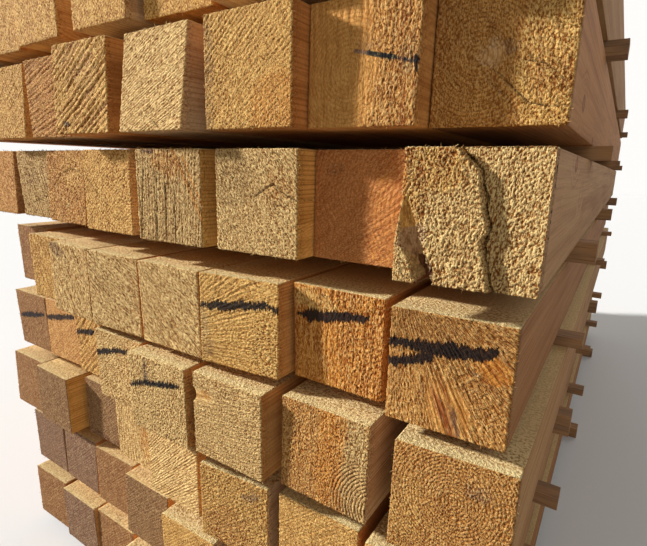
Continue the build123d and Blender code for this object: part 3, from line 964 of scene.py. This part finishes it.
def placeCap(template, beam, look, seed, back=False, broken=None):
    # a copy of the end on its beam, with its slope; returns it and the end's place along Y
    mesh = template.data.copy()
    if back:
        mesh.transform(Matrix.Rotation(math.pi, 4, "Z"))
    points = pointsOf(mesh)
    middle = (beam["low"] + beam["high"]) / 2
    depth = abs(points[:, 1])
    share = np.clip(depth / capDepth, 0, 1)
    x, z = points[:, 0] + middle[0], points[:, 2] + middle[2]
    slope = beam["back" if back else "front"]
    plane = slope[0] + slope[1] * x + slope[2] * z
    centre = slope[0] + slope[1] * middle[0] + slope[2] * middle[2]
    outermost = beamSide * mm / 2 - 1e-4
    corner = (abs(points[:, 0]) > outermost) & (abs(points[:, 2]) > outermost)
    x = np.where(corner, x - np.sign(points[:, 0]) * endSettings["cornerIn"], x)
    z = np.where(corner, z - np.sign(points[:, 2]) * endSettings["cornerIn"], z)
    u, v = (x - beam["low"][0]) / mm, (z - beam["low"][2]) / mm
    endGrain = np.clip(1 - depth / endSettings["grainDepth"], 0, 1)
    fade = np.clip(1 - depth / endSettings["fadeDepth"], 0, 1) ** endSettings["fadePower"]
    shift = np.zeros((len(u), 3))
    push, hollow = np.zeros(len(u)), np.zeros(len(u))
    coarse = overFace(look, "coarse", u, v, seed)
    for half, *line in look["cracks"]:
        deep = endSettings["crackDepth"] * (half + endSettings["crackLeast"])
        push = np.maximum(push,
                          deep * (1 - smooth(half * 0.3, half + 1.0, lineGap(*shaken(u, v, seed), line))))
    if broken == "torn":
        push, hollow = tearEnd(u, v, share, shift, coarse)
    elif broken == "chipped":
        push = chipEnd(u, v, coarse)
        hollow = np.clip(push / 10, 0, 0.7)
    inGroove = (push > 0.3) & (push * mm >= depth - 1e-5)
    depth = np.maximum(depth, push * mm)
    y = plane * (1 - share) + centre * share + (-depth if back else depth)
    mesh.vertices.foreach_set("co", np.stack([x, y, z], axis=1).ravel())
    rough = endSettings["rough"] * mm * coarse * np.where(depth < 0.0005, 1.0, endSettings["roughBehind"])
    rough = rough * np.where(push > 0.5, 1.0, fade)
    endGrain = np.where(inGroove, np.clip(1 - 0.3 * hollow, 0, 1), endGrain)
    dress(mesh, beam, look, u, v, endGrain, rough, seed, coarse)
    nearest, furthest = fuzzSettings["edgeDepths"]
    onEdge = np.where((depth > nearest) & (depth < furthest), 1.0, 0.0)
    onEdge = onEdge * np.where(z > middle[2], 1.0, fuzzSettings["lower"])
    fuzz = coarse * (fuzzSettings["face"] + fuzzSettings["edge"] * onEdge)
    fuzz = fuzz * np.where(depth > fuzzSettings["last"], 0.0, 1.0) * (fuzzSettings["back"] if back else 1.0)
    keep(mesh, "hollow", "number", hollow)
    keep(mesh, "fuzz", "number", np.where(hollow > 0.3, 0.0, fuzz))
    keep(mesh, "shift", "vector", shift)
    return addMesh("cap", mesh), centre


def placeSide(template, beam, look, seed, start, stop):
    # the long sides of a beam, from one end's last ring of points to the other's
    mesh = template.data.copy()
    middle = (beam["low"] + beam["high"]) / 2
    mesh.transform(Matrix.Translation((middle[0], start, middle[2]))
                   @ Matrix.Diagonal((1, stop - start, 1, 1)))
    points = pointsOf(mesh)
    u, v = (points[:, 0] - beam["low"][0]) / mm, (points[:, 2] - beam["low"][2]) / mm
    zero = np.zeros(len(u))
    dress(mesh, beam, look, u, v, zero, zero, seed, look["coarse"])
    return addMesh("side", mesh)


def joinAll(pieces, name):
    bpy.ops.object.select_all(action="DESELECT")
    for piece in pieces:
        piece.select_set(True)
    bpy.context.view_layer.objects.active = pieces[0]
    bpy.ops.object.join()
    joined = bpy.context.object
    joined.name = name
    joined.data.name = name
    return joined


print("stack: materials and relief")
timber = buildTimber()
relief = buildRelief()
sideTemplate = buildSide("sideTemplate", 1.0)
capTemplates = {}
backSeed = 70


def capFor(cells):
    if cells not in capTemplates:
        capTemplates[cells] = buildCap("capTemplate%d" % cells, cells)
    return capTemplates[cells]


for rowNumber, rowName in enumerate(rowNames):
    ends, sides = [], []
    for place, beam in enumerate(beamsOf(rowName)):
        look, seed = lookOf(rowName, place), rowNumber * beamsInRow + place
        cells = endSettings["cells"][rowName][place]
        cap, front = placeCap(capFor(cells), beam, look, seed, broken=brokenEnds.get((rowName, place)))
        plain = {**look, "strokes": [], "cracks": [], "stains": [], "areas": [], "veins": []}
        capBack, rear = placeCap(capFor(endSettings["backCells"]), beam, plain, backSeed + seed, back=True)
        ends += [cap, capBack]
        sides.append(placeSide(sideTemplate, beam, look, seed, front + capDepth, rear - capDepth))
    number = rowName.rsplit("_", 1)[1]
    ends = joinAll(ends, "sawn_ends_row_" + number)
    sides = joinAll(sides, "long_sides_row_" + number)
    setActive(ends)
    lift = ends.modifiers.new("raisedGrain", "NODES")
    lift.node_group = relief
    bpy.ops.object.modifier_apply(modifier=lift.name)
    for piece in (ends, sides):
        setActive(piece)
        bpy.ops.object.shade_smooth()
        piece.data.materials.clear()
        piece.data.materials.append(timber)
        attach(piece, "root")
        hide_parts(rowName)
    setActive(sides)
    bpy.ops.object.shade_smooth_by_angle(angle=math.radians(50))
    counts = [sum(len(face.vertices) - 2 for face in piece.data.polygons) for piece in (ends, sides)]
    print("stack:", rowName, "dressed, triangles", counts)

for template in (sideTemplate, *capTemplates.values()):
    bpy.data.objects.remove(template, do_unlink=True)

# Battens: rough sawn strips, greyed
print("stack: battens")


def buildBattenWood():
    material, tree, shader = newMaterial("battenWood", 0.9)
    place = addNode(tree, "ShaderNodeTexCoord").outputs["Object"]
    streak = noise(tree, stretched(tree, place, 0.03, 1.0, 1.0), 380.0, 3.0, 0.6, 0.2)
    broad = noise(tree, stretched(tree, place, 0.2, 1.0, 1.0), 40.0, 3.0, 0.6)
    wood = blendColour(tree, ramp(tree, broad, 0.35, 0.7), tones["batten"], tones["greyBatten"])
    wood = shaded(tree, ramp(tree, streak, 0.45, 0.7, 0.0, 0.6), wood, woodShades["batten"])
    feed(tree, shader.inputs["Base Color"], wood)
    addBump(tree, shader, streak, 0.8, 0.0006)
    return material


battenWood = buildBattenWood()
for name in battenNames:
    node = frame["nodes"][name]
    for slot in node.material_slots:
        slot.material = battenWood

# Floor, light and camera
print("stack: floor, light and camera")
stageSettings = {"floorSize": 60.0, "floorColour": (0.8, 0.79, 0.77), "floorBounce": (0.3, 0.28, 0.25),
                 "sky": 0.26, "skyColour": (1, 0.985, 0.96, 1)}
lampSettings = {                  # strength, softness in degrees, and where the light comes from
    "keyLight": (6.0, 4.0, (-0.843, -0.351, 0.407)),
    "fillLight": (0.32, 60.0, (0.45, -0.8, 0.35)),
    "backLight": (0.9, 60.0, (0.15, 0.93, 0.33)),
}


def seenDirectly(tree):
    # 1 for the background that the camera sees, also in gloss and through glass
    path = addNode(tree, "ShaderNodeLightPath").outputs
    seen = sums(tree, "MAXIMUM", path["Is Camera Ray"], path["Is Glossy Ray"])
    return sums(tree, "MAXIMUM", seen, path["Is Transmission Ray"])


bpy.ops.mesh.primitive_plane_add(size=stageSettings["floorSize"], location=(0, 0, -0.0005))
floor = bpy.context.object
floor.name = "floor"
floorMaterial, tree, shader = newMaterial("paleFloor", 0.9)
floorShade = blendColour(tree, seenDirectly(tree), stageSettings["floorBounce"], stageSettings["floorColour"])
feed(tree, shader.inputs["Base Color"], floorShade)
floor.data.materials.append(floorMaterial)

for lampName, (strength, softness, source) in lampSettings.items():
    bpy.ops.object.light_add(type="SUN", location=Vector(source) * 5)
    lamp = bpy.context.object
    lamp.name = lampName
    lamp.data.energy = strength
    lamp.data.angle = math.radians(softness)
    lamp.rotation_euler = Vector(source).to_track_quat("Z", "Y").to_euler()

world = bpy.data.worlds.new("studio")
bpy.context.scene.world = world
world.use_nodes = True
tree = world.node_tree
background = tree.nodes["Background"]
background.inputs["Color"].default_value = stageSettings["skyColour"]
level = addNode(tree, "ShaderNodeMix", {0: seenDirectly(tree), 2: stageSettings["sky"], 3: 1.0})
feed(tree, background.inputs["Strength"], level.outputs[0])

cameraSettings = {"place": (0.7309, -2.0259, 1.0646), "right": (0.8387, 0.54418, 0.02139),
                  "up": (-0.13851, 0.17516, 0.97475), "lens": 25.447}
bpy.ops.object.camera_add(location=cameraSettings["place"])
camera = bpy.context.object
right, up = Vector(cameraSettings["right"]).normalized(), Vector(cameraSettings["up"])
back = right.cross(up).normalized()
up = back.cross(right)
camera.matrix_world = (Matrix.Translation(cameraSettings["place"])
                       @ Matrix((right, up, back)).transposed().to_4x4())
camera.data.sensor_width = 36
camera.data.lens = cameraSettings["lens"]
camera.data.clip_start = 0.02
bpy.context.scene.camera = camera
bpy.context.scene.view_settings.view_transform = "Standard"
